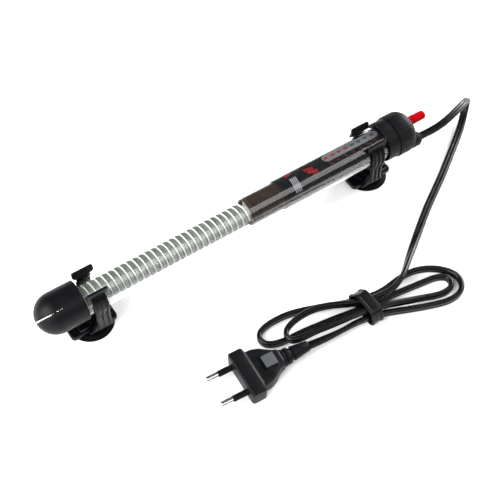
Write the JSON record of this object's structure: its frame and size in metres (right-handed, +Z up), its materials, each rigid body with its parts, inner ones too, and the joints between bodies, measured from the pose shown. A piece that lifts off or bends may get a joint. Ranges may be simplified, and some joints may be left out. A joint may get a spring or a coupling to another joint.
{
  "type": "submersible aquarium heater",
  "caption": "Glass tube aquarium heater with a wound ceramic core, a thermostat set by a head knob, sliding suction-cup clips and a mains lead tied in a hank.",
  "frame": {"origin": "centre of the heater's footprint at the floor under the suction cups, lead and plug left out", "axes": "+X along the tube from the end guard towards the head and knob, +Z up from the suction cups to the tube, +Y away from the side the lead lies on"},
  "size_m": [0.3495, 0.1311, 0.0437],
  "materials": {
    "glass": "clear polished borosilicate",
    "guard_plastic": "satin black moulded",
    "head_plastic": "satin black moulded, ribbed",
    "stopper_rubber": "matt black",
    "gland_rubber": "matt black",
    "knob_red": "glossy red",
    "clip_plastic": "semi-gloss black moulded",
    "cup_rubber": "soft satin black",
    "ceramic": "rough fired grey-green",
    "heater_wire": "drawn resistance wire",
    "steel": "pressed and drawn steel",
    "insulator": "pale heat-proof board",
    "brass": "rolled strip",
    "contact_silver": "polished contact metal",
    "smoked_sleeve": "glossy smoked brown",
    "label_film": "printed black film",
    "lamp_glass": "small clear lamp",
    "lead_insulation": "coloured lead sleeve",
    "cord_pvc": "satin black flexible PVC",
    "plug_plastic": "satin black moulded",
    "pin_metal": "bright plated",
    "pad_grey": "grey inlay",
    "tie_plastic": "soft black"
  },
  "bodies": {
    "heater": {"glass_tube": "glass", "ceramic_core": "ceramic", "heating_coil": "heater_wire", "terminal_band_front": "steel", "terminal_band_rear": "steel", "core_disc_front": "steel", "core_disc_rear": "insulator", "return_lead": "heater_wire", "thermostat_sleeve": "smoked_sleeve", "label_wrap": "label_film", "thermostat_frame": "steel", "bimetal_block": "insulator", "contact_fixed": "contact_silver", "contact_blade": "brass", "blade_block": "insulator", "magnet": "steel", "guide_rod": "steel", "neon_lamp": "lamp_glass", "lamp_resistor": "insulator", "lamp_lead": "heater_wire", "lamp_return_lead": "heater_wire", "resistor_lead": "heater_wire", "lead_live": "lead_insulation", "lead_neutral": "lead_insulation", "rubber_stopper": "stopper_rubber", "spindle_oring": "gland_rubber", "head_collar": "head_plastic", "head_cap": "head_plastic", "cord_gland": "gland_rubber", "cord": "cord_pvc", "cord_tie": "tie_plastic", "plug_body": "plug_plastic", "plug_strain_relief": "plug_plastic", "plug_pad": "pad_grey", "pin_a": "pin_metal", "pin_b": "pin_metal", "pin_sleeve_a": "plug_plastic", "pin_sleeve_b": "plug_plastic"},
    "knob": {"adjust_knob": "knob_red", "adjust_spindle": "steel"},
    "carriage": {"pointer_carriage": "insulator"},
    "bimetal": {"bimetal_strip": "brass", "contact_moving": "contact_silver"},
    "guard": {"end_guard": "guard_plastic"},
    "front_clip": {"clip_front": "clip_plastic"},
    "front_rail": {"rail_front": "clip_plastic"},
    "front_cup": {"cup_front": "cup_rubber"},
    "rear_clip": {"clip_rear": "clip_plastic"},
    "rear_rail": {"rail_rear": "clip_plastic"},
    "rear_cup": {"cup_rear": "cup_rubber"}
  },
  "joints": [
    {"name": "knob_turn", "type": "hinge", "parent": "heater", "child": "knob", "pos_m": [0.138, 0.0027, 0.0307], "axis": [1, 0, 0], "range_deg": [-720, 720]},
    {"name": "carriage_slide", "type": "slide", "parent": "heater", "child": "carriage", "axis": [1, 0, 0], "range_m": [-0.0081, 0.0081]},
    {"name": "bimetal_bend", "type": "hinge", "parent": "heater", "child": "bimetal", "pos_m": [0.0215, 0, 0.02905], "axis": [0, 1, 0], "range_deg": [-1, 0.35], "stiffness_Nm_per_rad": 0.3},
    {"name": "guard_pull_off", "type": "slide", "parent": "heater", "child": "guard", "axis": [1, 0, 0], "range_m": [-0.034, 0]},
    {"name": "front_clip_slide", "type": "slide", "parent": "heater", "child": "front_clip", "axis": [1, 0, 0], "range_m": [0, 0.06]},
    {"name": "front_rail_slide", "type": "slide", "parent": "front_clip", "child": "front_rail", "axis": [1, 0, 0], "range_m": [-0.0015, 0.0105]},
    {"name": "front_cup_turn", "type": "hinge", "parent": "front_rail", "child": "front_cup", "pos_m": [-0.1169, 0, 0], "axis": [0, 0, 1], "continuous": true},
    {"name": "rear_clip_slide", "type": "slide", "parent": "heater", "child": "rear_clip", "axis": [1, 0, 0], "range_m": [-0.06, 0.002]},
    {"name": "rear_rail_slide", "type": "slide", "parent": "rear_clip", "child": "rear_rail", "axis": [1, 0, 0], "range_m": [-0.008, 0.004]},
    {"name": "rear_cup_turn", "type": "hinge", "parent": "rear_rail", "child": "rear_cup", "pos_m": [0.101, 0, 0], "axis": [0, 0, 1], "continuous": true}
  ],
  "couplings": [
    {"joint": "carriage_slide", "follows": "knob_turn", "m_per_rad": 0.00063662}
  ]
}
